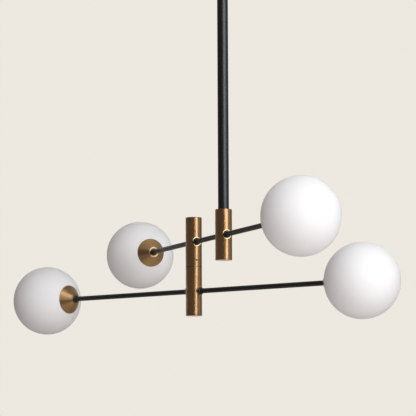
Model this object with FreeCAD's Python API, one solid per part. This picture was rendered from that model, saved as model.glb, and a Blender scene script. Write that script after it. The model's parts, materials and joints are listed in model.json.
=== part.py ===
"""Branching rod pendant: a stem, a hub, a swivel post, two level arms and four glass globes.

Frame: millimetres, +Z up.  The origin is on the stem's axis at the ceiling.  +X runs along the
upper arm, from the stem towards the front globe.  The stem drops through the hub, the swivel
post stands beside the hub, and the lower arm turns about the post.
"""
import FreeCAD, Part
import math
import os

Vector = FreeCAD.Vector
UP = Vector(0, 0, 1)
DOWN = Vector(0, 0, -1)
ALONG = Vector(1, 0, 0)
ORIGIN = Vector(0, 0, 0)

# ------------------------------------------------------------------ driving dimensions, mm

# Glass globe
globe_diameter = 150.0
glass_wall = 2.5
neck_bore = 27.0
neck_wall = 2.0

# Conical cup that holds a globe
cup_base_diameter = 62.0
cup_small_diameter = 22.0
cup_slope = 45.0            # degrees between the cone's side and its axis
cup_wall = 1.5
cup_end_wall = 2.0
cup_sleeve_wall = 1.3
neck_ring_wall = 1.25

# Arms: reach is from the post's axis to the globe's centre
front_reach = 540.0
back_reach = 330.0
lower_reach = 435.0
arm_diameter = 10.4
arm_wall = 1.2
lower_arm_turn = 27.3       # degrees from the upper arm, seen from above
half_turn = 180.0           # degrees, to an arm's other end

# Domed collars and flat seat rings where an arm leaves the hub, the post or a cup
collar_diameter = 16.0
collar_length = 4.0
collar_edge = 1.0           # straight side below the dome
collar_crown_wall = 0.7     # wall left at the top of the dome
seat_ring_diameter = 18.6
seat_ring_stand = 0.5       # how far a ring stands proud of the tube's crest

# Hub and post
hub_offset = 165.0          # from the post's axis to the stem's axis
body_diameter = 34.0
body_wall = 2.0
segment_length = 103.0
cap_thickness = 2.0
cap_plug_depth = 6.0
core_height = 24.0
core_wire_bore = 9.0
head_overlap = 1.0          # how far the hub's head reaches into the tube's wall
body_edge = 0.4             # bevel on the visible ends

# Stem
stem_diameter = 22.0
stem_wall = 1.5
stem_section_length = 400.0
stem_socket_depth = 18.0
stem_edge = 0.4
coupler_length = 60.0
coupler_bore = 12.0
top_plug_length = 25.0
foot_plug_length = 16.0

# Canopy at the ceiling
canopy_diameter = 120.0
canopy_height = 28.0
canopy_wall = 1.5
canopy_edge_radius = 4.0
bracket_thickness = 2.0
bracket_width = 24.0
bracket_tab_drop = 20.0
bracket_screw_spacing = 70.0
bracket_slot_length = 12.0
bracket_slot_width = 5.0
side_screw_diameter = 4.0
side_screw_length = 10.0
side_screw_head_diameter = 7.0
side_screw_head_height = 2.2
side_screw_drop = 12.0      # below the ceiling

# Hollow threaded tube and its nuts
nipple_diameter = 10.0
nipple_bore = 7.0
nipple_above_nut = 6.0
canopy_nut_flats = 17.0
canopy_nut_thickness = 4.0
lock_nut_flats = 17.0
lock_nut_thickness = 5.0
cup_nut_flats = 14.0
cup_nut_thickness = 3.5
swivel_plate_thickness = 5.0
spigot_end_stand = 1.5      # thread that shows below the lock nut

# Post swivel
spigot_depth_below = 14.0
spigot_height_above = 24.0
spigot_wall = 5.0
groove_height = 13.0        # above the seam
groove_depth = 2.0
grub_screw_diameter = 4.0
grub_screw_socket = 2.0
grub_screw_socket_depth = 1.5
grub_screw_recess = 0.5     # below the shell's outside

# Lamp parts
holder_diameter = 17.0
holder_length = 13.7
holder_socket_depth = 4.2
bulb_base_diameter = 13.0
bulb_base_length = 7.0
bulb_diameter = 15.0
bulb_length = 47.0
pin_spacing = 9.0
pin_diameter = 1.2
pin_length = 5.0

# Wiring
arm_cable_diameter = 5.6
riser_cable_diameter = 5.0
supply_cable_diameter = 6.4
supply_bend_radius = 8.0
block_length = 30.0
block_width = 17.0
block_height = 11.0
block_offset = 9.5          # from the stem's axis to the block's near face

# Clearances
fixed_fit = 0.05            # radial, between fixed round pieces
running_fit = 0.08          # radial, at the two swivels
thread_fit = 0.1            # radial, between a globe's ring and its cup
screw_clearance = 0.1       # radial, a screw in a plain hole
face_gap = 0.3              # between faces that turn or slide past each other
pin_clearance = 0.3         # radial, a bulb's pin in its hole
same_place = 0.01           # tolerance for finding an edge by its place

# ------------------------------------------------------------------ derived sizes and places

globe_radius = globe_diameter / 2
body_radius = body_diameter / 2
body_bore_radius = body_radius - body_wall
core_radius = body_bore_radius - fixed_fit
stem_radius = stem_diameter / 2
stem_bore_radius = stem_radius - stem_wall
arm_radius = arm_diameter / 2
arm_hole_radius = arm_radius + fixed_fit
canopy_radius = canopy_diameter / 2
nipple_radius = nipple_diameter / 2

canopy_floor_z = -canopy_height
stem_seam_z = canopy_floor_z - stem_section_length
stem_end_z = stem_seam_z - stem_section_length
hub_top_z = stem_end_z + stem_socket_depth
upper_arm_z = hub_top_z - segment_length / 2
post_seam_z = hub_top_z - segment_length
lower_arm_z = post_seam_z - segment_length / 2
post_bottom_z = post_seam_z - segment_length
post_x = -hub_offset

hub_boss_thickness = stem_socket_depth + face_gap
swivel_plate_top_z = hub_top_z - hub_boss_thickness
lock_nut_top_z = swivel_plate_top_z - swivel_plate_thickness - face_gap
foot_end_z = lock_nut_top_z - lock_nut_thickness - spigot_end_stand

# Along a lamp's own axis, measured outward from the globe's centre
cup_base_radius = cup_base_diameter / 2
cup_base_at = -math.sqrt((globe_radius + face_gap) ** 2 - cup_base_radius ** 2)
cup_rise = math.tan(math.radians(cup_slope))
cup_end_at = cup_base_at - (cup_base_radius - cup_small_diameter / 2) / cup_rise
cup_floor_at = cup_end_at + cup_end_wall
cup_inner_drop = cup_wall / math.cos(math.radians(cup_slope))
neck_radius = neck_bore / 2 + neck_wall
neck_ring_radius = neck_radius + fixed_fit + neck_ring_wall
sleeve_bore_radius = neck_ring_radius + thread_fit
sleeve_radius = sleeve_bore_radius + cup_sleeve_wall
cup_nut_face_at = cup_floor_at + cup_nut_thickness
holder_back_at = cup_nut_face_at + fixed_fit
holder_front_at = holder_back_at + holder_length
arm_end_at = holder_back_at + holder_socket_depth - fixed_fit


def cone_inside_at(radius):
    """Place along the lamp's axis where the cup's inner cone has this radius."""
    return cup_base_at + (radius + cup_inner_drop - cup_base_radius) / cup_rise


def globe_edge_at(radius, clear=0.0):
    """Place on the globe's back side, clear of the glass, at this distance from the axis."""
    return -math.sqrt((globe_radius + clear) ** 2 - radius ** 2)


neck_end_at = cone_inside_at(sleeve_bore_radius) + face_gap
sleeve_front_at = globe_edge_at(sleeve_radius, face_gap) - face_gap

# ------------------------------------------------------------------ basic shapes


def rod(radius, start, end):
    """Solid round bar between two points."""
    axis = end - start
    return Part.makeCylinder(radius, axis.Length, start, axis)


def tube(radius, bore_radius, start, end):
    """Round tube between two points."""
    return rod(radius, start, end).cut(rod(bore_radius, start, end))


def hexagon(flats, start, end):
    """Hexagonal bar between two points."""
    axis = end - start
    corner_radius = flats / math.sqrt(3)
    lie = FreeCAD.Placement(start, FreeCAD.Rotation(UP, axis))
    corners = []
    for index in range(7):
        angle = math.radians(60 * index)
        corner = Vector(corner_radius * math.cos(angle), corner_radius * math.sin(angle), 0)
        corners.append(lie.multVec(corner))
    return Part.Face(Part.makePolygon(corners)).extrude(axis)


def nut(flats, bore_radius, start, end):
    """Hexagonal nut between two points."""
    return hexagon(flats, start, end).cut(rod(bore_radius, start, end))


def turned(outline, axis=ALONG):
    """Solid of revolution from a closed list of edges in the XY plane (about X) or XZ plane (about Z)."""
    face = Part.Face(Part.Wire(Part.sortEdges(outline)[0]))
    return face.revolve(ORIGIN, axis, 360)


def turned_polygon(points, axis=ALONG):
    """Solid of revolution from the corners of a closed straight-sided outline."""
    return turned(Part.makePolygon(points + [points[0]]).Edges, axis)


def arc(start, through, end):
    """Circular arc edge through three points."""
    return Part.Arc(start, through, end).toShape()


def line(start, end):
    """Straight edge."""
    return Part.LineSegment(start, end).toShape()


def quarter_arc(start, end, centre):
    """Arc from start to end through the middle of the rounded corner that they make about a centre."""
    middle = centre + ((start - centre) + (end - centre)) * math.sqrt(0.5)
    return arc(start, middle, end)


def at(along, radius):
    """Point of an outline that is turned about the X axis."""
    return Vector(along, radius, 0)


def bevel_rims(shape, heights, radius, size):
    """Bevels the outer circular edges of an upright tube at the given heights."""
    rims = []
    for edge in shape.Edges:
        is_circle = isinstance(edge.Curve, Part.Circle)
        if is_circle and abs(edge.Curve.Radius - radius) < same_place:
            if min(abs(edge.CenterOfMass.z - height) for height in heights) < same_place:
                rims.append(edge)
    return shape.makeChamfer(size, rims)


# ------------------------------------------------------------------ placing on the arms

upper_root = Vector(post_x, 0, upper_arm_z)
hub_root = Vector(0, 0, upper_arm_z)
lower_root = Vector(post_x, 0, lower_arm_z)

# name of the lamp: (point on the post's axis, direction in degrees, reach to the globe's centre)
lamps = {
    "front": (upper_root, 0.0, front_reach),
    "back": (upper_root, half_turn, back_reach),
    "left": (lower_root, half_turn + lower_arm_turn, lower_reach),
    "right": (lower_root, lower_arm_turn, lower_reach),
}


def on_arm(shape, root, direction, distance):
    """Moves a shape made along +X to its place on an arm."""
    placed = shape.copy()
    placed.translate(Vector(distance, 0, 0))
    placed.rotate(ORIGIN, UP, direction)
    placed.translate(root)
    return placed


def at_lamp(shape, lamp):
    """Moves a lamp piece, made about the globe's centre, to its place."""
    return on_arm(shape, *lamps[lamp])


# ------------------------------------------------------------------ lamp pieces, about the globe's centre


def make_globe():
    """Hollow blown globe with a short straight neck towards the arm."""
    inner_radius = globe_radius - glass_wall
    bore_radius = neck_bore / 2
    outer_start = at(globe_edge_at(neck_radius), neck_radius)
    inner_start = at(-math.sqrt(inner_radius ** 2 - bore_radius ** 2), bore_radius)
    outline = [
        line(at(neck_end_at, bore_radius), at(neck_end_at, neck_radius)),
        line(at(neck_end_at, neck_radius), outer_start),
        arc(outer_start, at(0, globe_radius), at(globe_radius, 0)),
        line(at(globe_radius, 0), at(inner_radius, 0)),
        arc(at(inner_radius, 0), at(0, inner_radius), inner_start),
        line(inner_start, at(neck_end_at, bore_radius)),
    ]
    return turned(outline)


def make_neck_ring():
    """Threaded ring that is glued round the glass neck and screws into the cup."""
    front_at = globe_edge_at(neck_ring_radius, face_gap)
    return tube(neck_ring_radius, neck_radius + fixed_fit, at(neck_end_at, 0), at(front_at, 0))


def make_cup():
    """Spun cone with a flat end on the arm and an inner sleeve for the globe's ring."""
    slope = cup_rise
    drop = cup_base_radius - cup_inner_drop - cup_base_at * slope
    a = 1 + slope ** 2
    b = 2 * slope * drop
    c = drop ** 2 - (globe_radius + face_gap) ** 2
    rim_at = (-b - math.sqrt(b ** 2 - 4 * a * c)) / (2 * a)
    rim_radius = slope * rim_at + drop
    floor_radius = slope * cup_floor_at + drop
    return turned_polygon([
        at(cup_end_at, arm_hole_radius),
        at(cup_end_at, cup_small_diameter / 2),
        at(cup_base_at, cup_base_radius),
        at(rim_at, rim_radius),
        at(cone_inside_at(sleeve_radius), sleeve_radius),
        at(sleeve_front_at, sleeve_radius),
        at(sleeve_front_at, sleeve_bore_radius),
        at(cone_inside_at(sleeve_bore_radius), sleeve_bore_radius),
        at(cup_floor_at, floor_radius),
        at(cup_floor_at, arm_hole_radius),
    ])


def make_collar():
    """Domed collar on an arm; its flat side is at 0 and its dome rises along +X."""
    radius = collar_diameter / 2
    shoulder = at(collar_edge, radius)
    crown = at(collar_length, arm_hole_radius + collar_crown_wall)
    outline = [
        line(at(0, arm_hole_radius), at(0, radius)),
        line(at(0, radius), shoulder),
        quarter_arc(shoulder, crown, at(collar_edge, crown.y)),
        line(crown, at(collar_length, arm_hole_radius)),
        line(at(collar_length, arm_hole_radius), at(0, arm_hole_radius)),
    ]
    return turned(outline)


def make_cup_nut():
    """Nut that clamps the cup against its collar."""
    return nut(cup_nut_flats, arm_hole_radius, at(cup_floor_at, 0), at(cup_nut_face_at, 0))


def pin_row(radius, start_at, end_at):
    """Pair of level pins, or of the holes they go into."""
    row = []
    for side in (-1, 1):
        offset = Vector(0, side * pin_spacing / 2, 0)
        row.append(rod(radius, at(start_at, 0) + offset, at(end_at, 0) + offset))
    return row


def make_lampholder():
    """Round two-pin holder screwed onto the arm's end."""
    body = rod(holder_diameter / 2, at(holder_back_at, 0), at(holder_front_at, 0))
    socket = rod(arm_hole_radius, at(holder_back_at, 0), at(holder_back_at + holder_socket_depth, 0))
    hole_radius = pin_diameter / 2 + pin_clearance
    holes = pin_row(hole_radius, holder_front_at - pin_length - pin_clearance, holder_front_at)
    return body.cut(socket).cut(holes[0]).cut(holes[1])


def make_bulb():
    """Two-pin bulb: a round base and a domed capsule."""
    base_at = holder_front_at
    capsule_at = base_at + bulb_base_length
    capsule_radius = bulb_diameter / 2
    tip_at = base_at + bulb_length
    dome_at = tip_at - capsule_radius
    outline = [
        line(at(base_at, 0), at(base_at, bulb_base_diameter / 2)),
        line(at(base_at, bulb_base_diameter / 2), at(capsule_at, bulb_base_diameter / 2)),
        line(at(capsule_at, bulb_base_diameter / 2), at(capsule_at, capsule_radius)),
        line(at(capsule_at, capsule_radius), at(dome_at, capsule_radius)),
        quarter_arc(at(dome_at, capsule_radius), at(tip_at, 0), at(dome_at, 0)),
        line(at(tip_at, 0), at(base_at, 0)),
    ]
    bulb = turned(outline)
    for pin in pin_row(pin_diameter / 2, base_at - pin_length, base_at):
        bulb = bulb.fuse(pin)
    return bulb


# ------------------------------------------------------------------ arms and what sits on them

core_socket_start = core_wire_bore / 2 + face_gap
seat_face = body_radius + seat_ring_stand


def make_arm(reach):
    """Arm tube along +X, from its socket in a core to its lampholder."""
    return tube(arm_radius, arm_radius - arm_wall, at(core_socket_start, 0), at(reach + arm_end_at, 0))


def make_middle_arm():
    """Short tube between the post's core and the hub's core."""
    start = Vector(post_x + core_socket_start, 0, upper_arm_z)
    end = Vector(-core_socket_start, 0, upper_arm_z)
    return tube(arm_radius, arm_radius - arm_wall, start, end)


def make_seat_ring():
    """Flat ring let into the side of the hub or the post, round an arm, made along +X."""
    return tube(seat_ring_diameter / 2, arm_hole_radius, at(body_bore_radius + fixed_fit, 0), at(seat_face, 0))


# (point on the hub's or the post's axis, direction) of every arm exit
upper_post_exits = [(upper_root, 0.0), (upper_root, half_turn)]
hub_exits = [(hub_root, 0.0), (hub_root, half_turn)]
lower_exits = [(lower_root, lower_arm_turn), (lower_root, half_turn + lower_arm_turn)]


def make_seat_rings(exits):
    """Seat rings of a group of exits."""
    return Part.makeCompound([on_arm(make_seat_ring(), root, turn, 0) for root, turn in exits])


def make_collars(exits, arm_lamps):
    """Collars at a group of exits and behind the cups of the arms' lamps."""
    collars = [on_arm(make_collar(), root, turn, seat_face) for root, turn in exits]
    behind_cup = make_collar().mirror(ORIGIN, ALONG)
    behind_cup.translate(at(cup_end_at, 0))
    collars += [at_lamp(behind_cup, lamp) for lamp in arm_lamps]
    return Part.makeCompound(collars)


def make_cup_nuts(arm_lamps):
    """Cup nuts of the two lamps on one arm."""
    return Part.makeCompound([at_lamp(make_cup_nut(), lamp) for lamp in arm_lamps])


# ------------------------------------------------------------------ hub and post


def exit_holes(exits):
    """Round side holes for the seat rings."""
    hole = rod(seat_ring_diameter / 2 + fixed_fit, ORIGIN, at(body_diameter, 0))
    return [on_arm(hole, root, turn, 0) for root, turn in exits]


def make_shell(axis_point, top_z, bottom_z, exits):
    """Upright brass tube with a side hole for each arm."""
    top = Vector(axis_point.x, 0, top_z)
    bottom = Vector(axis_point.x, 0, bottom_z)
    shell = tube(body_radius, body_bore_radius, bottom, top)
    shell = bevel_rims(shell, [top_z, bottom_z], body_radius, body_edge)
    for hole in exit_holes(exits):
        shell = shell.cut(hole)
    return shell


def make_hub_shell():
    """Hub tube with a thick head, bored for the stem."""
    bottom_z = hub_top_z - segment_length + cap_thickness
    shell = make_shell(hub_root, hub_top_z, bottom_z, hub_exits)
    stem_hole_radius = stem_radius + running_fit
    head = tube(body_bore_radius + head_overlap, stem_hole_radius,
                Vector(0, 0, hub_top_z - hub_boss_thickness), Vector(0, 0, hub_top_z))
    return shell.fuse(head).removeSplitter()


def make_cap(axis_x, end_z, inward):
    """End cap: a disc as wide as the tube, and a plug inside it."""
    end = Vector(axis_x, 0, end_z)
    inner_face = end + inward * cap_thickness
    disc = bevel_rims(rod(body_radius, end, inner_face), [end_z, inner_face.z], body_radius, body_edge)
    plug = rod(core_radius, inner_face, inner_face + inward * cap_plug_depth)
    return disc.fuse(plug).removeSplitter()


def make_core(exits):
    """Block inside the hub or the post, with a cross bore for the arms and an upright wire bore."""
    middle = exits[0][0]
    half = UP * (core_height / 2)
    core = tube(core_radius, core_wire_bore / 2, middle - half, middle + half)
    for root, turn in exits:
        core = core.cut(on_arm(rod(arm_hole_radius, ORIGIN, at(body_radius, 0)), root, turn, 0))
    return core


# ------------------------------------------------------------------ post swivel

spigot_radius = body_bore_radius - running_fit
groove_z = post_seam_z + groove_height


def make_swivel_spigot():
    """Hollow spigot with a V groove, fixed in the lower shell and turning in the upper one."""
    bore_radius = spigot_radius - spigot_wall
    fixed_radius = core_radius
    bottom_z = post_seam_z - spigot_depth_below
    top_z = post_seam_z + spigot_height_above
    outline = [
        (bore_radius, bottom_z),
        (fixed_radius, bottom_z),
        (fixed_radius, post_seam_z),
        (spigot_radius, post_seam_z),
        (spigot_radius, groove_z - groove_depth),
        (spigot_radius - groove_depth, groove_z),
        (spigot_radius, groove_z + groove_depth),
        (spigot_radius, top_z),
        (bore_radius, top_z),
    ]
    spigot = turned_polygon([Vector(radius, 0, height) for radius, height in outline], UP)
    spigot.translate(Vector(post_x, 0, 0))
    return spigot


def make_grub_screw():
    """Screw in the upper shell, whose point lies in the spigot's groove."""
    radius = grub_screw_diameter / 2
    tip = spigot_radius - groove_depth + face_gap
    outer = body_radius - grub_screw_recess
    shank_end = tip + radius
    screw = turned_polygon([at(tip, 0), at(shank_end, radius), at(outer, radius), at(outer, 0)])
    socket = hexagon(grub_screw_socket, at(outer - grub_screw_socket_depth, 0), at(outer, 0))
    return on_arm(screw.cut(socket), Vector(post_x, 0, groove_z), 0, 0)


def make_post_upper_shell():
    """Upper half of the post, with the grub screw's hole."""
    shell = make_shell(upper_root, hub_top_z - cap_thickness, post_seam_z, upper_post_exits)
    hole = rod(grub_screw_diameter / 2 + fixed_fit, ORIGIN, at(body_diameter, 0))
    return shell.cut(on_arm(hole, Vector(post_x, 0, groove_z), 0, 0))


def make_post_lower_shell():
    """Lower half of the post, which turns with the lower arm."""
    return make_shell(lower_root, post_seam_z, post_bottom_z + cap_thickness, lower_exits)


# ------------------------------------------------------------------ stem


def make_stem_section(top_z):
    """One length of stem, with both ends bevelled where the sections meet."""
    bottom_z = top_z - stem_section_length
    section = tube(stem_radius, stem_bore_radius, Vector(0, 0, bottom_z), Vector(0, 0, top_z))
    return bevel_rims(section, [top_z, bottom_z], stem_radius, stem_edge)


def make_stem_coupler():
    """Sleeve inside the stem that joins its two sections."""
    half = UP * (coupler_length / 2)
    seam = Vector(0, 0, stem_seam_z)
    return tube(stem_bore_radius - fixed_fit, coupler_bore / 2, seam - half, seam + half)


def make_stem_top_plug():
    """Plug in the stem's top, tapped for the nipple."""
    top = Vector(0, 0, canopy_floor_z)
    return tube(stem_bore_radius - fixed_fit, nipple_radius + fixed_fit, top - UP * top_plug_length, top)


def make_stem_foot():
    """Plug in the stem's lower end, with a hollow threaded spigot that carries the hub."""
    end = Vector(0, 0, stem_end_z)
    plug = rod(stem_bore_radius - fixed_fit, end, end + UP * foot_plug_length)
    spigot = rod(nipple_radius, Vector(0, 0, foot_end_z), end)
    wire_way = rod(nipple_bore / 2, Vector(0, 0, foot_end_z), end + UP * foot_plug_length)
    return plug.fuse(spigot).cut(wire_way)


def make_swivel_plate():
    """Disc under the hub's head that rests on the lock nut and turns on the foot's spigot."""
    top = Vector(0, 0, swivel_plate_top_z)
    return tube(core_radius, nipple_radius + running_fit, top - UP * swivel_plate_thickness, top)


def make_lock_nut():
    """Nut under the swivel plate."""
    top = Vector(0, 0, lock_nut_top_z)
    return nut(lock_nut_flats, nipple_radius + fixed_fit, top - UP * lock_nut_thickness, top)


# ------------------------------------------------------------------ canopy and ceiling bracket

canopy_bore_radius = canopy_radius - canopy_wall
tab_reach = math.sqrt(canopy_bore_radius ** 2 - (bracket_width / 2) ** 2) - face_gap
side_screw_z = -side_screw_drop
nipple_top_z = canopy_floor_z + canopy_wall + canopy_nut_thickness + nipple_above_nut
nipple_bottom_z = canopy_floor_z - top_plug_length


def side_screw_rods(radius, start, end):
    """Level rods along both directions of X at the side screws' height."""
    rods = []
    for side in (-1, 1):
        rods.append(rod(radius, Vector(side * start, 0, side_screw_z), Vector(side * end, 0, side_screw_z)))
    return rods


def round_rim(shape, height, radius):
    """Rounds the level edges of an upright round block at one height."""
    rim = [edge for edge in shape.Edges if abs(edge.BoundBox.ZMax - height) < same_place]
    return shape.makeFillet(radius, rim)


def make_canopy():
    """Shallow round cover, open towards the ceiling."""
    body = rod(canopy_radius, Vector(0, 0, canopy_floor_z), ORIGIN)
    inside_floor_z = canopy_floor_z + canopy_wall
    inside = rod(canopy_bore_radius, Vector(0, 0, inside_floor_z), UP)
    body = round_rim(body, canopy_floor_z, canopy_edge_radius)
    inside = round_rim(inside, inside_floor_z, canopy_edge_radius - canopy_wall)
    canopy = body.cut(inside)
    canopy = canopy.cut(rod(nipple_radius + screw_clearance, Vector(0, 0, canopy_floor_z), ORIGIN))
    for hole in side_screw_rods(side_screw_diameter / 2 + screw_clearance, tab_reach, canopy_diameter):
        canopy = canopy.cut(hole)
    return canopy


def make_ceiling_bracket():
    """Strip across the canopy with two ceiling slots and two turned-down tapped tabs."""
    width = bracket_width
    strip = Part.makeBox(2 * tab_reach, width, bracket_thickness,
                         Vector(-tab_reach, -width / 2, -bracket_thickness))
    for side in (-1, 1):
        near = min(side * tab_reach, side * (tab_reach - bracket_thickness))
        tab = Part.makeBox(bracket_thickness, width, bracket_tab_drop,
                           Vector(near, -width / 2, -bracket_tab_drop))
        strip = strip.fuse(tab)
    strip = strip.removeSplitter()
    half_run = (bracket_slot_length - bracket_slot_width) / 2
    for side in (-1, 1):
        middle = side * bracket_screw_spacing / 2
        slot = Part.makeBox(2 * half_run, bracket_slot_width, bracket_thickness,
                            Vector(middle - half_run, -bracket_slot_width / 2, -bracket_thickness))
        for end in (-half_run, half_run):
            foot = Vector(middle + end, 0, -bracket_thickness)
            slot = slot.fuse(rod(bracket_slot_width / 2, foot, foot + UP * bracket_thickness))
        strip = strip.cut(slot)
    for hole in side_screw_rods(side_screw_diameter / 2 + fixed_fit, 0, tab_reach + bracket_thickness):
        strip = strip.cut(hole)
    return strip


def make_canopy_screws():
    """Two screws through the canopy's side into the bracket's tabs."""
    screws = []
    shanks = side_screw_rods(side_screw_diameter / 2, canopy_radius - side_screw_length, canopy_radius)
    heads = side_screw_rods(side_screw_head_diameter / 2, canopy_radius, canopy_radius + side_screw_head_height)
    for shank, head in zip(shanks, heads):
        screws.append(shank.fuse(head))
    return Part.makeCompound(screws)


def make_canopy_nut():
    """Nut that holds the canopy down on the stem's top plug."""
    bottom = Vector(0, 0, canopy_floor_z + canopy_wall)
    return nut(canopy_nut_flats, nipple_radius + fixed_fit, bottom, bottom + UP * canopy_nut_thickness)


def make_canopy_nipple():
    """Hollow threaded tube from the stem's top plug into the canopy."""
    return tube(nipple_radius, nipple_bore / 2, Vector(0, 0, nipple_bottom_z), Vector(0, 0, nipple_top_z))


def make_terminal_block():
    """Connector block on the underside of the bracket."""
    return Part.makeBox(block_width, block_length, block_height,
                        Vector(block_offset, -block_length / 2, -bracket_thickness - block_height))


# ------------------------------------------------------------------ wiring


def make_supply_cable():
    """Cable from the terminal block, round one bend and down the stem into the hub."""
    level_z = -bracket_thickness - block_height / 2
    bend = supply_bend_radius
    bottom = Vector(0, 0, foot_end_z)
    bend_start = Vector(0, 0, level_z - bend)
    bend_end = Vector(bend, 0, level_z)
    path = Part.Wire([
        line(bottom, bend_start),
        quarter_arc(bend_start, bend_end, Vector(bend, 0, level_z - bend)),
        line(bend_end, Vector(block_offset, 0, level_z)),
    ])
    section = Part.Wire(Part.Circle(bottom, UP, supply_cable_diameter / 2).toShape())
    return path.makePipeShell([section], True, True)


def make_arm_wiring(arm_lamps, risers):
    """Cables along both arms, with upright runs given as (x, start height, end height)."""
    ends = []
    for lamp in arm_lamps:
        lamp_root, direction, reach = lamps[lamp]
        socket_floor = reach + holder_back_at + holder_socket_depth
        ends.append(on_arm(Part.Vertex(socket_floor, 0, 0), lamp_root, direction, 0).Point)
    wiring = rod(arm_cable_diameter / 2, ends[0], ends[1])
    for riser_x, start_z, end_z in risers:
        start = Vector(riser_x, 0, start_z)
        wiring = wiring.fuse(rod(riser_cable_diameter / 2, start, Vector(riser_x, 0, end_z)))
    return wiring


wire_handover_z = post_seam_z + spigot_height_above / 2
upper_risers = [
    (0, upper_arm_z, foot_end_z - face_gap),
    (post_x, wire_handover_z + face_gap, upper_arm_z),
]
lower_risers = [(post_x, lower_arm_z, wire_handover_z)]

# ------------------------------------------------------------------ the pieces by name

pieces = {
    "ceiling_bracket": make_ceiling_bracket(),
    "canopy": make_canopy(),
    "canopy_screws": make_canopy_screws(),
    "canopy_nut": make_canopy_nut(),
    "canopy_nipple": make_canopy_nipple(),
    "terminal_block": make_terminal_block(),
    "supply_cable": make_supply_cable(),
    "stem_top_plug": make_stem_top_plug(),
    "upper_stem": make_stem_section(canopy_floor_z),
    "stem_coupler": make_stem_coupler(),
    "lower_stem": make_stem_section(stem_seam_z),
    "stem_foot": make_stem_foot(),
    "stem_lock_nut": make_lock_nut(),
    "hub_shell": make_hub_shell(),
    "hub_swivel_plate": make_swivel_plate(),
    "hub_core": make_core(hub_exits),
    "hub_end_cap": make_cap(0, hub_top_z - segment_length, UP),
    "middle_arm": make_middle_arm(),
    "upper_front_arm": on_arm(make_arm(front_reach - hub_offset), hub_root, 0, 0),
    "upper_back_arm": on_arm(make_arm(back_reach), upper_root, half_turn, 0),
    "post_upper_shell": make_post_upper_shell(),
    "post_top_cap": make_cap(post_x, hub_top_z, DOWN),
    "post_upper_core": make_core(upper_post_exits),
    "swivel_grub_screw": make_grub_screw(),
    "upper_arm_collars": make_collars(upper_post_exits + hub_exits, ["front", "back"]),
    "upper_seat_rings": make_seat_rings(upper_post_exits + hub_exits),
    "upper_cup_nuts": make_cup_nuts(["front", "back"]),
    "upper_wiring": make_arm_wiring(["back", "front"], upper_risers),
    "swivel_spigot": make_swivel_spigot(),
    "post_lower_shell": make_post_lower_shell(),
    "post_bottom_cap": make_cap(post_x, post_bottom_z, UP),
    "post_lower_core": make_core(lower_exits),
    "lower_left_arm": on_arm(make_arm(lower_reach), lower_root, half_turn + lower_arm_turn, 0),
    "lower_right_arm": on_arm(make_arm(lower_reach), lower_root, lower_arm_turn, 0),
    "lower_arm_collars": make_collars(lower_exits, ["left", "right"]),
    "lower_seat_rings": make_seat_rings(lower_exits),
    "lower_cup_nuts": make_cup_nuts(["left", "right"]),
    "lower_wiring": make_arm_wiring(["left", "right"], lower_risers),
}
for lamp in lamps:
    pieces["cup_" + lamp] = at_lamp(make_cup(), lamp)
    pieces["lampholder_" + lamp] = at_lamp(make_lampholder(), lamp)
    pieces["bulb_" + lamp] = at_lamp(make_bulb(), lamp)
    pieces["globe_" + lamp] = at_lamp(make_globe(), lamp)
    pieces["neck_ring_" + lamp] = at_lamp(make_neck_ring(), lamp)

os.makedirs("parts", exist_ok=True)
for name, shape in pieces.items():
    shape.exportStep("parts/" + name + ".step")
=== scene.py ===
"""Finish, light and camera for the branching rod pendant, in metres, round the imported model."""
import json
import math

import bmesh
import bpy
from mathutils import Matrix, Vector


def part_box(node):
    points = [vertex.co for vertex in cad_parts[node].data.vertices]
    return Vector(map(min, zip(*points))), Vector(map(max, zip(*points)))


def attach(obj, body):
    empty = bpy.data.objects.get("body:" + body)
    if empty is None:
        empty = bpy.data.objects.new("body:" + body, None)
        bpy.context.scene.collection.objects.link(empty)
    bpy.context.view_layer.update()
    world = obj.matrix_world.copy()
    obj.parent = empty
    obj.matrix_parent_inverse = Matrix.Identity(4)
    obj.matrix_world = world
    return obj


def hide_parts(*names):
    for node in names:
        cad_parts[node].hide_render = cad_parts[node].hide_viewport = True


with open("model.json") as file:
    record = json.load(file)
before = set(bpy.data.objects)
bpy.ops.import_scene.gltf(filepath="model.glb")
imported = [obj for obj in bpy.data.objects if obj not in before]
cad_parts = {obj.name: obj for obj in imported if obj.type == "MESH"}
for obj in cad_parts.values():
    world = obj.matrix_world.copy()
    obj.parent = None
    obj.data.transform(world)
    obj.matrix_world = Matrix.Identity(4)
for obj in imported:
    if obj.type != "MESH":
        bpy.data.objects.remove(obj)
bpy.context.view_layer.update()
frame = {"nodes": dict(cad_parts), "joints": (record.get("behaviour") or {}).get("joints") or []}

nodes = frame["nodes"]
joints = {joint["name"]: joint for joint in frame["joints"]}

# ------------------------------------------------------------------ places taken from the frame

UPPER_LAMPS = ("front", "back")
LOWER_LAMPS = ("left", "right")
LAMPS = UPPER_LAMPS + LOWER_LAMPS
UPRIGHT = Vector((0, 0, 1))
hub_axis = Vector(joints["hub_swivel"]["pos_m"])
post_axis = Vector(joints["post_swivel"]["pos_m"])


def box_centre(node):
    """Middle of a node's box at rest."""
    low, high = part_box(node)
    return (low + high) / 2


def lamp_direction(lamp):
    """Unit vector from the post towards a lamp."""
    return Vector(joints["globe_" + lamp + "_removal"]["axis"]).normalized()


def arm_start(lamp):
    """Point where a lamp's arm crosses the post's axis."""
    return Vector((post_axis.x, post_axis.y, box_centre("cup_" + lamp).z))


# ------------------------------------------------------------------ node helpers


def new_material(name):
    """New node material: returns it, its nodes, its links and its Principled shader."""
    material = bpy.data.materials.new(name)
    material.use_nodes = True
    tree = material.node_tree
    return material, tree.nodes, tree.links, tree.nodes["Principled BSDF"]


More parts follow.
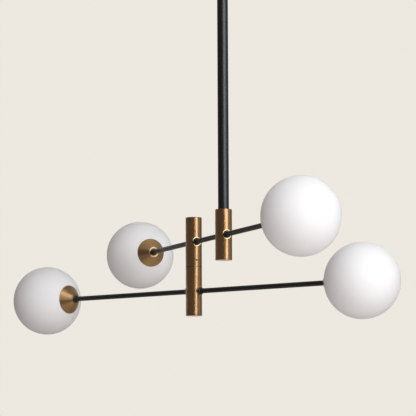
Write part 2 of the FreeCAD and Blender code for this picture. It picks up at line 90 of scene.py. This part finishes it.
def noise(tree, links, vector, scale, detail=3.0, roughness=0.5):
    """Noise value at a vector."""
    node = tree.new("ShaderNodeTexNoise")
    node.inputs["Scale"].default_value = scale
    node.inputs["Detail"].default_value = detail
    node.inputs["Roughness"].default_value = roughness
    links.new(vector, node.inputs["Vector"])
    return node.outputs["Fac"]


def spread(tree, links, value, low, high, start=0.3, end=0.7):
    """Maps a value from start..end to low..high, and holds it at the ends."""
    node = tree.new("ShaderNodeMapRange")
    node.inputs["From Min"].default_value = start
    node.inputs["From Max"].default_value = end
    node.inputs["To Min"].default_value = low
    node.inputs["To Max"].default_value = high
    links.new(value, node.inputs["Value"])
    return node.outputs["Result"]


def tint(tree, links, value, dark, light):
    """Blends two colours by a noise value."""
    node = tree.new("ShaderNodeMix")
    node.data_type = "RGBA"
    node.inputs["A"].default_value = (*dark, 1.0)
    node.inputs["B"].default_value = (*light, 1.0)
    links.new(spread(tree, links, value, 0.0, 1.0), node.inputs["Factor"])
    return node.outputs["Result"]


def bump(tree, links, height, shader, depth):
    """Relief of a real depth, in metres."""
    node = tree.new("ShaderNodeBump")
    node.inputs["Distance"].default_value = depth
    links.new(height, node.inputs["Height"])
    links.new(node.outputs["Normal"], shader.inputs["Normal"])


def object_place(tree):
    """The object's own coordinates, which are the part's frame at rest."""
    return tree.new("ShaderNodeTexCoord").outputs["Object"]


def vector_with(tree, links, operation, first, second):
    """Vector maths of a socket and a fixed vector; gives a vector."""
    node = tree.new("ShaderNodeVectorMath")
    node.operation = operation
    links.new(first, node.inputs[0])
    node.inputs[1].default_value = second
    return node.outputs["Vector"]


def value_with(tree, links, operation, first, second):
    """Vector maths of a socket and a fixed vector; gives a number."""
    node = tree.new("ShaderNodeVectorMath")
    node.operation = operation
    links.new(first, node.inputs[0])
    node.inputs[1].default_value = second
    return node.outputs["Value"]


def combined(tree, links, operation, first, second):
    """Maths of two number sockets."""
    node = tree.new("ShaderNodeMath")
    node.operation = operation
    links.new(first, node.inputs[0])
    links.new(second, node.inputs[1])
    return node.outputs["Value"]


# ------------------------------------------------------------------ materials

BRONZE_DARK = (0.531, 0.290, 0.124)
BRONZE_LIGHT = (0.591, 0.330, 0.145)
CUP_DARK = (0.529, 0.305, 0.128)
CUP_LIGHT = (0.599, 0.355, 0.155)
TUBE_ROUGHNESS = 0.33
TUBE_STREAK = 0.65           # how far the tubes' highlight is drawn out across the turning
CUP_ROUGHNESS = 0.36
CUP_STREAK = 0.85
LACQUER = 0.6                # share of the clear lacquer over the brass
LACQUER_ROUGHNESS = 0.20
ACROSS_THE_RINGS = 0.25      # quarter turn, from along the turning to across it
RING_RELIEF = 0.0000015
PAINT_SPECULAR = 0.85
GLASS_SPECULAR = 0.3
FINE_RELIEF = 0.00001        # depth of paint, plating and etched glass, in metres
GLASS_GLOW = (0.970, 0.930, 0.912)
GLASS_LEAK = 0.18            # share of the light that a glass surface passes on


def black_powder_coat():
    """Satin black paint with a faint orange-peel."""
    material, tree, links, shader = new_material("black_powder_coat")
    place = object_place(tree)
    grain = noise(tree, links, place, 900.0, 4.0)
    cloud = noise(tree, links, place, 22.0)
    colour = tint(tree, links, cloud, (0.0018, 0.0016, 0.0017), (0.0030, 0.0027, 0.0030))
    links.new(colour, shader.inputs["Base Color"])
    links.new(spread(tree, links, grain, 0.31, 0.43), shader.inputs["Roughness"])
    shader.inputs["Specular IOR Level"].default_value = PAINT_SPECULAR
    bump(tree, links, grain, shader, FINE_RELIEF)
    return material


def brushed_brass(name, axis, centre, dark, light, roughness, streak):
    """Brass turned about an axis: fine rings, cloudy tarnish and a highlight drawn out across the rings."""
    material, tree, links, shader = new_material(name)
    place = object_place(tree)
    offset = vector_with(tree, links, "SUBTRACT", place, centre)
    around = vector_with(tree, links, "CROSS_PRODUCT", offset, axis)
    along = value_with(tree, links, "DOT_PRODUCT", offset, axis)
    out = tree.new("ShaderNodeVectorMath")
    out.operation = "LENGTH"
    links.new(around, out.inputs[0])
    ring_place = tree.new("ShaderNodeCombineXYZ")
    links.new(along, ring_place.inputs["X"])
    links.new(out.outputs["Value"], ring_place.inputs["Y"])
    rings = noise(tree, links, ring_place.outputs["Vector"], 500.0, 1.0)
    cloud = noise(tree, links, place, 14.0, 2.0, 0.4)
    links.new(tint(tree, links, cloud, dark, light), shader.inputs["Base Color"])
    links.new(spread(tree, links, rings, roughness - 0.01, roughness + 0.015), shader.inputs["Roughness"])
    shader.inputs["Metallic"].default_value = 1.0
    shader.inputs["Anisotropic"].default_value = streak
    shader.inputs["Anisotropic Rotation"].default_value = ACROSS_THE_RINGS
    shader.inputs["Coat Weight"].default_value = LACQUER
    shader.inputs["Coat Roughness"].default_value = LACQUER_ROUGHNESS
    links.new(around, shader.inputs["Tangent"])
    bump(tree, links, rings, shader, RING_RELIEF)
    return material


def plain_metal(name, dark, light, roughness):
    """Machined or plated metal with slight staining."""
    material, tree, links, shader = new_material(name)
    place = object_place(tree)
    cloud = noise(tree, links, place, 120.0, 4.0)
    links.new(tint(tree, links, cloud, dark, light), shader.inputs["Base Color"])
    links.new(spread(tree, links, cloud, roughness - 0.06, roughness + 0.08), shader.inputs["Roughness"])
    shader.inputs["Metallic"].default_value = 1.0
    bump(tree, links, noise(tree, links, place, 1500.0), shader, FINE_RELIEF)
    return material


def opal_glass():
    """Etched opal glass: white, without a sharp highlight, and passing some light through its wall."""
    material, tree, links, shader = new_material("opal_glass")
    place = object_place(tree)
    cloud = noise(tree, links, place, 9.0, 2.0)
    grain = noise(tree, links, place, 2600.0, 2.0)
    links.new(tint(tree, links, cloud, (0.885, 0.88, 0.88), (0.905, 0.90, 0.90)), shader.inputs["Base Color"])
    links.new(spread(tree, links, grain, 0.52, 0.62), shader.inputs["Roughness"])
    shader.inputs["Specular IOR Level"].default_value = GLASS_SPECULAR
    bump(tree, links, grain, shader, FINE_RELIEF)
    through = tree.new("ShaderNodeBsdfTranslucent")
    through.inputs["Color"].default_value = (*GLASS_GLOW, 1.0)
    mix = tree.new("ShaderNodeMixShader")
    mix.inputs["Fac"].default_value = GLASS_LEAK
    links.new(shader.outputs["BSDF"], mix.inputs[1])
    links.new(through.outputs["BSDF"], mix.inputs[2])
    links.new(mix.outputs["Shader"], tree["Material Output"].inputs["Surface"])
    return material


def dull_solid(name, dark, light, roughness, scale=300.0, depth=0.00003):
    """Ceramic, glass or plastic with a fine mottled surface."""
    material, tree, links, shader = new_material(name)
    place = object_place(tree)
    grain = noise(tree, links, place, scale, 4.0)
    links.new(tint(tree, links, grain, dark, light), shader.inputs["Base Color"])
    links.new(spread(tree, links, grain, roughness - 0.05, roughness + 0.08), shader.inputs["Roughness"])
    bump(tree, links, grain, shader, depth)
    return material


def dress(names, material):
    """Gives the named CAD nodes one material and smooth shading."""
    for name in names:
        mesh = nodes[name].data
        mesh.materials.clear()
        mesh.materials.append(material)
        for polygon in mesh.polygons:
            polygon.material_index = 0
            polygon.use_smooth = True


paint = black_powder_coat()
black_steel = plain_metal("black_steel", (0.03, 0.03, 0.034), (0.06, 0.06, 0.064), 0.35)
zinc = plain_metal("zinc_steel", (0.52, 0.53, 0.55), (0.66, 0.67, 0.69), 0.35)
dress(["canopy", "canopy_screws", "upper_stem", "lower_stem", "middle_arm", "upper_front_arm",
       "upper_back_arm", "lower_left_arm", "lower_right_arm", "upper_arm_collars",
       "lower_arm_collars"], paint)
dress(["hub_shell", "hub_end_cap"],
      brushed_brass("hub_brass", UPRIGHT, hub_axis, BRONZE_DARK, BRONZE_LIGHT,
                    TUBE_ROUGHNESS, TUBE_STREAK))
dress(["post_upper_shell", "post_top_cap", "post_lower_shell", "post_bottom_cap"],
      brushed_brass("post_brass", UPRIGHT, post_axis, BRONZE_DARK, BRONZE_LIGHT,
                    TUBE_ROUGHNESS, TUBE_STREAK))
for lamp in LAMPS:
    cup = "cup_" + lamp
    dress([cup], brushed_brass(cup + "_brass", lamp_direction(lamp), arm_start(lamp),
                               CUP_DARK, CUP_LIGHT, CUP_ROUGHNESS, CUP_STREAK))
dress(["upper_seat_rings", "lower_seat_rings"],
      plain_metal("polished_brass", (0.72, 0.55, 0.30), (0.82, 0.65, 0.38), 0.22))
dress(["hub_core", "post_upper_core", "post_lower_core", "swivel_spigot", "hub_swivel_plate",
       "stem_foot", "stem_coupler", "stem_top_plug"] + ["neck_ring_" + lamp for lamp in LAMPS],
      plain_metal("turned_brass", (0.60, 0.45, 0.22), (0.74, 0.57, 0.30), 0.30))
dress(["ceiling_bracket", "canopy_nut", "canopy_nipple", "stem_lock_nut", "upper_cup_nuts",
       "lower_cup_nuts"], zinc)
dress(["swivel_grub_screw"], black_steel)
dress(["globe_" + lamp for lamp in LAMPS], opal_glass())
dress(["lampholder_" + lamp for lamp in LAMPS],
      dull_solid("white_ceramic", (0.80, 0.79, 0.75), (0.88, 0.87, 0.83), 0.45))
dress(["bulb_" + lamp for lamp in LAMPS],
      dull_solid("frosted_bulb", (0.86, 0.85, 0.82), (0.93, 0.92, 0.90), 0.35, 900.0, FINE_RELIEF))
dress(["supply_cable", "upper_wiring", "lower_wiring"],
      dull_solid("cable_sheath", (0.05, 0.05, 0.05), (0.08, 0.08, 0.08), 0.55, 700.0))
dress(["terminal_block"], dull_solid("block_plastic", (0.78, 0.78, 0.74), (0.86, 0.86, 0.82), 0.5))

# ------------------------------------------------------------------ screws and threads

ROUND_STEPS = 48             # steps round a screw or a thread
RING_STEPS = 144             # steps round a tube or a cone
HEAD_STEPS = 8               # steps from the slot of a screw head to its side
HEAD_ROWS = 12               # rows of faces along the slot
HEAD_RIM = 0.5               # height of a screw head's rim as a share of the head
MERGE_DISTANCE = 1e-7


def finished_piece(mesh_data, name, material, body):
    """Turns a bmesh into a piece that rides on a body."""
    bmesh.ops.remove_doubles(mesh_data, verts=mesh_data.verts, dist=MERGE_DISTANCE)
    bmesh.ops.recalc_face_normals(mesh_data, faces=mesh_data.faces)
    mesh = bpy.data.meshes.new(name)
    mesh_data.to_mesh(mesh)
    mesh_data.free()
    mesh.materials.append(material)
    piece = bpy.data.objects.new(name, mesh)
    bpy.context.scene.collection.objects.link(piece)
    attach(piece, body)
    return piece


def add_turned(mesh_data, start, axis, profile):
    """Adds a solid of revolution from (distance along the axis, radius) points, closed at both ends."""
    side = axis.orthogonal().normalized()
    across = axis.cross(side)
    rings = []
    for along, radius in profile:
        ring = []
        for step in range(ROUND_STEPS):
            angle = 2 * math.pi * step / ROUND_STEPS
            spoke = side * math.cos(angle) + across * math.sin(angle)
            ring.append(mesh_data.verts.new(start + axis * along + spoke * radius))
        rings.append(ring)
    for near, far in zip(rings, rings[1:]):
        for step in range(ROUND_STEPS):
            after = (step + 1) % ROUND_STEPS
            mesh_data.faces.new((near[step], near[after], far[after], far[step]))
    mesh_data.faces.new(rings[0])
    mesh_data.faces.new(rings[-1])


def add_ring(mesh_data, centre, axis, radius, section):
    """Adds a closed ring: (outward, along) points swept round an axis at a radius."""
    side = axis.orthogonal().normalized()
    across = axis.cross(side)
    loops = []
    for step in range(RING_STEPS):
        angle = 2 * math.pi * step / RING_STEPS
        spoke = side * math.cos(angle) + across * math.sin(angle)
        loops.append([mesh_data.verts.new(centre + spoke * (radius + out) + axis * along)
                      for out, along in section])
    for step in range(RING_STEPS):
        near = loops[step]
        far = loops[(step + 1) % RING_STEPS]
        for corner in range(len(section)):
            after = (corner + 1) % len(section)
            mesh_data.faces.new((near[corner], near[after], far[after], far[corner]))


def add_slotted_head(mesh_data, seat, outward, radius, height, slot_width, slot_depth):
    """Adds a low domed screw head with a straight slot, standing on a seat point."""
    side = outward.orthogonal().normalized()
    across = outward.cross(side)
    rim_height = height * HEAD_RIM
    half = slot_width / 2
    left_angle = math.acos(half / radius)
    left = [-radius * math.cos(left_angle * step / HEAD_STEPS) for step in range(HEAD_STEPS + 1)]
    places = [(place, 0.0) for place in left] + [(-half, slot_depth), (half, slot_depth)]
    places += [(-place, 0.0) for place in reversed(left)]
    columns = []
    feet = []
    for place, sunk in places:
        reach = math.sqrt(max(radius ** 2 - place ** 2, 0.0))
        column = []
        for row in range(HEAD_ROWS + 1):
            sideways = reach * math.sin(math.pi * (row / HEAD_ROWS - 0.5))
            dome = 1 - (place ** 2 + sideways ** 2) / radius ** 2
            rise = rim_height + (height - rim_height) * dome - sunk
            column.append(mesh_data.verts.new(seat + side * place + across * sideways + outward * rise))
        columns.append(column)
        feet.append([mesh_data.verts.new(seat + side * place + across * reach * end) for end in (-1, 1)])
    standing = list(zip(columns, feet))
    for (near, near_feet), (far, far_feet) in zip(standing, standing[1:]):
        for row in range(HEAD_ROWS):
            mesh_data.faces.new((near[row], far[row], far[row + 1], near[row + 1]))
        mesh_data.faces.new((near[0], near_feet[0], far_feet[0], far[0]))
        mesh_data.faces.new((near[-1], far[-1], far_feet[1], near_feet[1]))
        mesh_data.faces.new((near_feet[0], near_feet[1], far_feet[1], far_feet[0]))


def make_side_screws():
    """Canopy screws with a threaded shank and a slotted, domed head."""
    head_radius = 0.0035
    head_height = 0.0022
    slot = 0.0009
    thread_radius = 0.0020
    root_radius = 0.0017
    pitch = 0.0007
    shank = 0.010
    low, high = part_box("canopy_screws")
    canopy_low, canopy_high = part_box("canopy")
    middle_height = (low.z + high.z) / 2
    turns = int(shank / pitch)
    profile = [(0.0, root_radius)]
    for turn in range(turns):
        profile.append(((turn + 0.5) * pitch, thread_radius))
        profile.append(((turn + 1.0) * pitch, root_radius))
    profile.append((shank, root_radius))
    mesh_data = bmesh.new()
    for wall, outward in ((canopy_high.x, Vector((1, 0, 0))), (canopy_low.x, Vector((-1, 0, 0)))):
        seat = Vector((wall, 0, middle_height))
        add_turned(mesh_data, seat - outward * shank, outward, profile)
        add_slotted_head(mesh_data, seat, outward, head_radius, head_height, slot, slot)
    piece = finished_piece(mesh_data, "side_screws", paint, "stem")
    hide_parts("canopy_screws")


def make_nipple_thread():
    """Thread that shows on the hollow tube above the canopy's nut."""
    pitch = 0.0010
    depth = 0.0003
    half_ridge = 0.45 * pitch
    nut_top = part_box("canopy_nut")[1].z
    low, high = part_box("canopy_nipple")
    radius = (high.x - low.x) / 2
    turns = (high.z - nut_top) / pitch - 1
    steps = int(turns * ROUND_STEPS)
    mesh_data = bmesh.new()
    rows = []
    for step in range(steps + 1):
        angle = 2 * math.pi * step / ROUND_STEPS
        spoke = Vector((math.cos(angle), math.sin(angle), 0))
        height = nut_top + pitch * (0.5 + step / ROUND_STEPS)
        row = []
        for rise, out in ((-half_ridge, -depth), (0.0, depth), (half_ridge, -depth)):
            row.append(mesh_data.verts.new(spoke * (radius + out) + UPRIGHT * (height + rise)))
        rows.append(row)
    for near, far in zip(rows, rows[1:]):
        for corner in range(3):
            after = (corner + 1) % 3
            mesh_data.faces.new((near[corner], near[after], far[after], far[corner]))
    mesh_data.faces.new(rows[0])
    mesh_data.faces.new(rows[-1])
    finished_piece(mesh_data, "nipple_thread", zinc, "stem")


def make_seam_shade_band(name, upper, lower, body):
    """Thin dark band round the seam between two tubes on one upright axis; its dark colour is painted shade,
    standing in for the shadow line in the seam's groove.
    """
    half_height = 0.00045
    half_face = half_height * 0.6
    inside = 0.00002
    outside = 0.00020
    upper_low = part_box(upper)[0]
    low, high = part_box(lower)
    centre = Vector(((low.x + high.x) / 2, (low.y + high.y) / 2, (upper_low.z + high.z) / 2))
    section = [(inside, -half_height), (outside, -half_face), (outside, half_face), (inside, half_height)]
    mesh_data = bmesh.new()
    add_ring(mesh_data, centre, UPRIGHT, (high.x - low.x) / 2, section)
    finished_piece(mesh_data, name, black_steel, body)


def make_cup_ridges(lamp, body):
    """Fine raised rings that turning leaves on a cup's cone."""
    pitch = 0.0020
    half_width = 0.00040
    height = 0.00006
    sunk = 0.00010
    tolerance = 0.0001
    cup = nodes["cup_" + lamp]
    axis = lamp_direction(lamp)
    start = arm_start(lamp)
    points = []
    for vertex in cup.data.vertices:
        offset = cup.matrix_world @ vertex.co - start
        along = offset.dot(axis)
        points.append((along, (offset - axis * along).length))
    small_end = min(along for along, radius in points)
    small_radius = max(radius for along, radius in points if along < small_end + tolerance)
    base_radius = max(radius for along, radius in points)
    base = min(along for along, radius in points if radius > base_radius - tolerance)
    slope = Vector((base_radius - small_radius, base - small_end))
    length = slope.length
    slope.normalize()
    outward = Vector((slope.y, -slope.x))
    section = []
    for across, rise in ((-half_width, 0.0), (0.0, height), (half_width, 0.0), (0.0, -sunk)):
        place = slope * across + outward * rise
        section.append((place.x, place.y))
    mesh_data = bmesh.new()
    for ridge in range(1, int(length / pitch)):
        place = slope * (ridge * pitch)
        add_ring(mesh_data, start + axis * (small_end + place.y), axis, small_radius + place.x, section)
    name = "cup_ridges_" + lamp
    finished_piece(mesh_data, name, cup.data.materials[0], body)


def make_block_screws():
    """Slotted clamp screws on the underside of the terminal block."""
    radius = 0.0019
    height = 0.0009
    slot_width = 0.0005
    slot_depth = 0.0004
    low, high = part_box("terminal_block")
    mesh_data = bmesh.new()
    for share in (0.2, 0.5, 0.8):
        seat = Vector(((low.x + high.x) / 2, low.y + (high.y - low.y) * share, low.z))
        add_slotted_head(mesh_data, seat, -UPRIGHT, radius, height, slot_width, slot_depth)
    finished_piece(mesh_data, "block_screws", zinc, "stem")


make_side_screws()
make_nipple_thread()
make_block_screws()
# Dark bands of painted shade at the post's and the stem's seams.
make_seam_shade_band("post_seam_shade_band", "post_upper_shell", "post_lower_shell", "upper_arm")
make_seam_shade_band("stem_seam_shade_band", "upper_stem", "lower_stem", "stem")
for lamp in LAMPS:
    make_cup_ridges(lamp, "upper_arm" if lamp in UPPER_LAMPS else "lower_arm")

# ------------------------------------------------------------------ camera, at the photograph's view

CAMERA_TURN = math.radians(68.15)        # turn of the photograph's view from looking along +Y
CAMERA_DISTANCE = 4.0755                 # level distance from the post's axis
CAMERA_SIDE = 0.0301                     # how far the camera stands to the right of the post
CAMERA_DROP = 0.3862                     # below the upper arm
CAMERA_PITCH = math.radians(6.413)
CAMERA_ROLL = math.radians(-0.246)
CAMERA_LENS = 169.33                     # mm, for a picture as wide as CAMERA_FRAME
CAMERA_FRAME = 36.0
FARTHEST_SEEN = 60.0

view_turn = Matrix.Rotation(CAMERA_TURN, 3, "Z")
look = view_turn @ Vector((0, 1, 0))
right_of_view = view_turn @ Vector((1, 0, 0))


def place_camera():
    """Camera that repeats the photograph's long-lens view."""
    forward = Vector((0, math.cos(CAMERA_PITCH), math.sin(CAMERA_PITCH)))
    up = Vector((0, -math.sin(CAMERA_PITCH), math.cos(CAMERA_PITCH)))
    right = Vector((1, 0, 0))
    rolled_right = math.cos(CAMERA_ROLL) * right + math.sin(CAMERA_ROLL) * up
    rolled_up = -math.sin(CAMERA_ROLL) * right + math.cos(CAMERA_ROLL) * up
    rotation = (view_turn @ Matrix((rolled_right, rolled_up, -forward)).transposed()).to_4x4()
    foot = Vector((post_axis.x, post_axis.y, hub_axis.z))
    place = foot + view_turn @ Vector((CAMERA_SIDE, -CAMERA_DISTANCE, -CAMERA_DROP))
    data = bpy.data.cameras.new("photo_camera")
    data.lens = CAMERA_LENS
    data.sensor_width = CAMERA_FRAME
    data.clip_end = FARTHEST_SEEN
    camera = bpy.data.objects.new("photo_camera", data)
    camera.matrix_world = Matrix.Translation(place) @ rotation
    bpy.context.scene.collection.objects.link(camera)
    bpy.context.scene.camera = camera


place_camera()

# ------------------------------------------------------------------ light

# Brightness of each light as red, green, blue. The room lights matt surfaces by its ROOM values,
# and glossy ones mirror it by its MIRRORED values.
KEY_LIGHT = (2.757, 2.887, 2.974)
HIGH_LIGHT = (2.446, 2.465, 2.479)
LOW_LIGHT = (3.210, 3.023, 3.075)
SIDE_LIGHT = (0.248, 0.257, 0.260)
ROOM_BEHIND = (0.642, 0.600, 0.588)
ROOM_FRONT = (0.267, 0.249, 0.251)
ROOM_ABOVE = (0.321, 0.300, 0.290)
MIRRORED_BEHIND = (0.145, 0.145, 0.145)
MIRRORED_FRONT = (0.075, 0.075, 0.075)
MIRRORED_ABOVE = (0.238, 0.238, 0.238)
BACKDROP = (0.847, 0.812, 0.745)
FLOOR_GLOW = 0.65            # share of the backdrop's brightness that the floor shows the camera

AIM_BELOW_HUB = 0.05
aim = Vector((post_axis.x, post_axis.y, hub_axis.z - AIM_BELOW_HUB))


def soft_light(name, turn, distance, height, size, brightness, mirrored):
    """Soft rectangular lamp, turned in degrees to the right of the camera's side and aimed at the pendant."""
    angle = math.radians(turn)
    level = -look * math.cos(angle) + right_of_view * math.sin(angle)
    strongest = max(brightness)
    data = bpy.data.lights.new(name, "AREA")
    data.shape = "RECTANGLE"
    data.size, data.size_y = size
    data.energy = strongest * math.pi * size[0] * size[1]
    data.color = [part / strongest for part in brightness]
    lamp = bpy.data.objects.new(name, data)
    place = aim + level * distance + UPRIGHT * height
    turned = (aim - place).to_track_quat("-Z", "Y").to_matrix().to_4x4()
    lamp.matrix_world = Matrix.Translation(place) @ turned
    lamp.visible_camera = False
    lamp.visible_glossy = mirrored
    bpy.context.scene.collection.objects.link(lamp)


soft_light("key_light", turn=36, distance=2.9, height=1.2, size=(2.4, 3.2),
           brightness=KEY_LIGHT, mirrored=True)
soft_light("high_light", turn=0, distance=1.9, height=1.9, size=(1.6, 1.6),
           brightness=HIGH_LIGHT, mirrored=False)
soft_light("low_light", turn=10, distance=1.9, height=-1.6, size=(1.6, 1.6),
           brightness=LOW_LIGHT, mirrored=False)
soft_light("side_light", turn=80, distance=2.0, height=0.1, size=(1.6, 1.8),
           brightness=SIDE_LIGHT, mirrored=True)


def add_room(tree, links, shares):
    """Background shader from areas of the room, each a share from 0 to 1 and its brightness."""
    total = None
    for share, brightness in shares:
        part = tree.new("ShaderNodeVectorMath")
        part.operation = "MULTIPLY_ADD"
        links.new(share, part.inputs[0])
        part.inputs[1].default_value = brightness
        if total:
            links.new(total, part.inputs[2])
        total = part.outputs["Vector"]
    room = tree.new("ShaderNodeBackground")
    links.new(total, room.inputs["Color"])
    return room.outputs["Background"]


def mixed(tree, links, share, first, second):
    """Mix of two shaders by a share from 0 to 1."""
    mix = tree.new("ShaderNodeMixShader")
    links.new(share, mix.inputs["Fac"])
    links.new(first, mix.inputs[1])
    links.new(second, mix.inputs[2])
    return mix.outputs["Shader"]


def make_world():
    """Flat pale backdrop for the camera, and behind the pendant in reflections; a dim room for the rest."""
    world = bpy.data.worlds.new("studio")
    world.use_nodes = True
    tree = world.node_tree.nodes
    links = world.node_tree.links
    tree.clear()
    direction = tree.new("ShaderNodeTexCoord").outputs["Generated"]
    behind = value_with(tree, links, "DOT_PRODUCT", direction, look)
    height = value_with(tree, links, "DOT_PRODUCT", direction, UPRIGHT)
    above = spread(tree, links, height, 0.0, 1.0, 0.3, 0.5)
    level = spread(tree, links, height, 1.0, 0.0, 0.3, 0.5)
    back = combined(tree, links, "MULTIPLY", level, spread(tree, links, behind, 0.0, 1.0, -0.2, 0.4))
    front = combined(tree, links, "MULTIPLY", level, spread(tree, links, behind, 1.0, 0.0, -0.2, 0.4))
    room = add_room(tree, links, ((above, ROOM_ABOVE), (back, ROOM_BEHIND), (front, ROOM_FRONT)))
    dim_room = add_room(tree, links, ((above, MIRRORED_ABOVE), (back, MIRRORED_BEHIND),
                                      (front, MIRRORED_FRONT)))
    backdrop = tree.new("ShaderNodeBackground")
    backdrop.inputs["Color"].default_value = (*BACKDROP, 1.0)
    path = tree.new("ShaderNodeLightPath").outputs
    mirrored = combined(tree, links, "MAXIMUM", path["Is Glossy Ray"], path["Is Transmission Ray"])
    far_side = spread(tree, links, behind, 0.0, 1.0, 0.85, 0.98)
    shows_far = combined(tree, links, "MULTIPLY", mirrored, far_side)
    shows = combined(tree, links, "MAXIMUM", path["Is Camera Ray"], shows_far)
    rooms = mixed(tree, links, path["Is Glossy Ray"], room, dim_room)
    surface = mixed(tree, links, shows, rooms, backdrop.outputs["Background"])
    links.new(surface, tree.new("ShaderNodeOutputWorld").inputs["Surface"])
    bpy.context.scene.world = world


def make_floor():
    """Pale floor at room height below the ceiling."""
    half = 6.0
    drop = -3.0
    mesh = bpy.data.meshes.new("floor")
    corners = [(-half, -half, drop), (half, -half, drop), (half, half, drop), (-half, half, drop)]
    mesh.from_pydata(corners, [], [(0, 1, 2, 3)])
    material, tree, links, shader = new_material("floor_paint")
    cloud = noise(tree, links, object_place(tree), 1.5)
    colour = tint(tree, links, cloud, (0.50, 0.485, 0.450), (0.54, 0.520, 0.485))
    links.new(colour, shader.inputs["Base Color"])
    shader.inputs["Roughness"].default_value = 0.7
    glow = tree.new("ShaderNodeEmission")
    glow.inputs["Color"].default_value = (*BACKDROP, 1.0)
    seen = tree.new("ShaderNodeLightPath").outputs["Is Camera Ray"]
    links.new(spread(tree, links, seen, 0.0, FLOOR_GLOW, 0.0, 1.0), glow.inputs["Strength"])
    both = tree.new("ShaderNodeAddShader")
    links.new(shader.outputs["BSDF"], both.inputs[0])
    links.new(glow.outputs["Emission"], both.inputs[1])
    links.new(both.outputs["Shader"], tree["Material Output"].inputs["Surface"])
    mesh.materials.append(material)
    floor = bpy.data.objects.new("floor", mesh)
    bpy.context.scene.collection.objects.link(floor)


make_world()
make_floor()
bpy.context.scene.view_settings.view_transform = "Standard"
